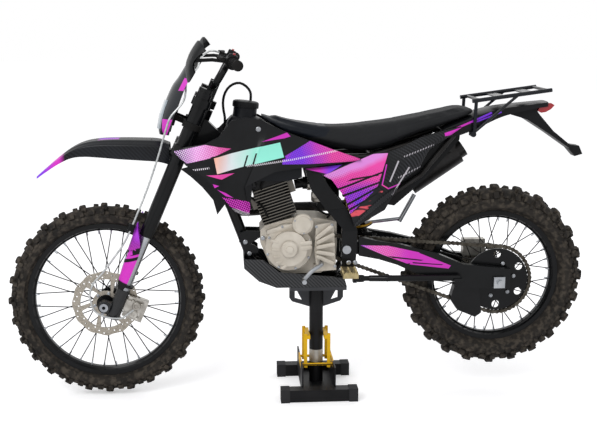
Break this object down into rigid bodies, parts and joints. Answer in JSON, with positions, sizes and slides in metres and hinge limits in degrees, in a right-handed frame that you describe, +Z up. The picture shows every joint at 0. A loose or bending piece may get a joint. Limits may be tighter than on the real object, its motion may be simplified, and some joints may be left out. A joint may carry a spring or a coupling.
{
  "type": "enduro dirt bike on a paddock stand",
  "caption": "Off-road motorcycle with knobbly spoked wheels, tall fork, long bench seat, rear luggage rack and folded side stand, held upright on a lifting paddock stand",
  "frame": {"origin": "on the floor under the middle of the bounding box, with the front wheel 3 mm clear of the floor", "axes": "+X points to the rear of the bike, +Y to its right side, +Z up"},
  "size_m": [2.08, 0.816, 1.27],
  "materials": {
    "black_paint": "satin black paint",
    "bright_metal": "brushed bright aluminium",
    "spring_gold": "gold paint on the spring and damper",
    "engine_alloy": "cast warm grey alloy",
    "black_fins": "black finned casting with bright fin edges",
    "black_rubber": "matte rubber",
    "dark_steel": "dark heat-stained steel",
    "dark_plastic": "dark woven-look plastic",
    "peg_gold": "pale gold alloy",
    "chain_steel": "dull roller chain steel",
    "black_plastic": "black moulded plastic",
    "seat_cover": "black grained seat cover",
    "purple_plastic": "moulded plastic with violet and magenta graphics",
    "red_lens": "red lens",
    "lens": "clear lamp lens",
    "hose": "silver braided hose",
    "tyre": "dusty black rubber with knobs",
    "disc_steel": "drilled brake disc steel"
  },
  "bodies": {
    "chassis": {"frame": "black_paint", "subframe": "black_paint", "swingarm": "black_paint", "rear_axle": "bright_metal", "shock": "spring_gold", "engine_case": "engine_alloy", "engine_barrel": "black_fins", "intake": "black_rubber", "exhaust": "dark_steel", "skid_plate": "dark_plastic", "footrests": "peg_gold", "foot_controls": "bright_metal", "chain": "chain_steel", "rear_caliper": "bright_metal", "fuel_tank": "black_plastic", "tank_breather": "black_rubber", "seat": "seat_cover", "shrouds": "purple_plastic", "side_panels": "purple_plastic", "airbox": "black_plastic", "rear_fender": "black_plastic", "tail_light": "red_lens", "rack": "black_paint", "paddock_stand": "black_paint"},
    "steering": {"fork_clamps": "black_paint", "fork_uppers": "black_paint", "fork_lowers": "bright_metal", "fork_guards": "purple_plastic", "front_axle": "bright_metal", "front_fender": "dark_plastic", "headlight_mask": "black_plastic", "headlight": "lens", "handlebar": "black_paint", "hand_controls": "black_rubber", "hand_guards": "black_plastic", "front_caliper": "bright_metal", "brake_hose": "hose"},
    "front_wheel": {"front_tyre": "tyre", "front_rim": "black_paint", "front_hub": "black_paint", "front_disc": "disc_steel"},
    "rear_wheel": {"rear_tyre": "tyre", "rear_rim": "black_paint", "rear_hub": "black_paint", "rear_sprocket": "black_paint", "rear_disc": "disc_steel"},
    "side_stand": {"side_stand": "black_paint"}
  },
  "joints": [
    {"name": "steering", "type": "hinge", "parent": "chassis", "child": "steering", "pos_m": [-0.3533, 0, 0.97], "axis": [0.3972, 0, 0.9178], "range_deg": [-42, 42]},
    {"name": "front_wheel_spin", "type": "hinge", "parent": "steering", "child": "front_wheel", "pos_m": [-0.69, 0, 0.353], "axis": [0, 1, 0], "continuous": true},
    {"name": "rear_wheel_spin", "type": "hinge", "parent": "chassis", "child": "rear_wheel", "pos_m": [0.704, 0, 0.418], "axis": [0, 1, 0], "continuous": true},
    {"name": "side_stand_fold", "type": "hinge", "parent": "chassis", "child": "side_stand", "pos_m": [0.212, -0.098, 0.436], "axis": [0, 0.9646, -0.2639], "range_deg": [0, 95]}
  ]
}
